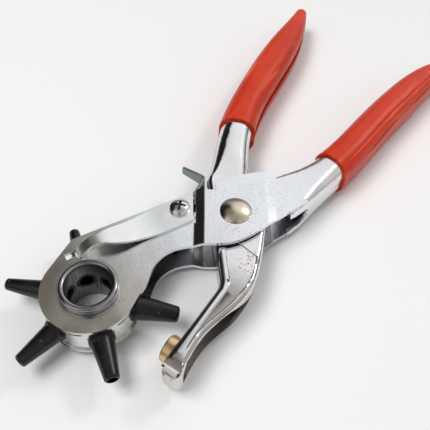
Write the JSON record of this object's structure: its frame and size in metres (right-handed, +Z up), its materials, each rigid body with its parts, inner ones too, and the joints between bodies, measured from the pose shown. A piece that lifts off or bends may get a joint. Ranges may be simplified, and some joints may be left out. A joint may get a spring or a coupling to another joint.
{
  "type": "rotary hole punch",
  "caption": "Plier-type rotary hole punch for leather, with a turning wheel of punch tubes, a brass anvil, a thumb latch and vinyl grips.",
  "frame": {"origin": "pivot axis at the flat underside of the pivot rivet, where the tool lies on a bench", "axes": "+X along the tool from the head towards the handle ends, +Z up along the pivot axis, away from the bench"},
  "size_m": [0.2349, 0.0923, 0.0219],
  "materials": {
    "nickel_plate": "satin",
    "chrome_plate": "polished",
    "black_steel": "satin",
    "zinc_plate": "satin",
    "spring_wire": "satin",
    "brass": "satin",
    "vinyl": "satin"
  },
  "bodies": {
    "frame_body": {"frame": "nickel_plate", "pivot_rivet": "nickel_plate", "pivot_bush": "spring_wire", "return_spring": "spring_wire", "index_spring": "zinc_plate", "index_screw": "chrome_plate", "index_nut": "zinc_plate", "latch_pin": "spring_wire", "grip_frame": "vinyl"},
    "lever_body": {"anvil_lever": "chrome_plate", "brass_anvil": "brass", "grip_lever": "vinyl"},
    "wheel_body": {"wheel_drum": "chrome_plate", "hub_sleeve": "chrome_plate", "punch_tube_1": "black_steel", "punch_tube_2": "black_steel", "punch_tube_3": "black_steel", "punch_tube_4": "black_steel", "punch_tube_5": "black_steel", "punch_tube_6": "black_steel"},
    "latch_body": {"latch": "zinc_plate"}
  },
  "joints": [
    {"name": "lever_pivot", "type": "hinge", "parent": "frame_body", "child": "lever_body", "pos_m": [0, 0, 0.0102], "axis": [0, 0, 1], "range_deg": [-1, 13], "deforming": ["return_spring"]},
    {"name": "wheel_spin", "type": "hinge", "parent": "frame_body", "child": "wheel_body", "pos_m": [-0.0565, 0.024, 0.0102], "axis": [0, 0, 1], "continuous": true},
    {"name": "latch_swing", "type": "hinge", "parent": "frame_body", "child": "latch_body", "pos_m": [-0.0032, 0.018, 0.0128], "axis": [0, 0, 1], "range_deg": [-3, 39]}
  ],
  "couplings": [
    {"joint": "latch_swing", "follows": "lever_pivot", "ratio": 3}
  ]
}
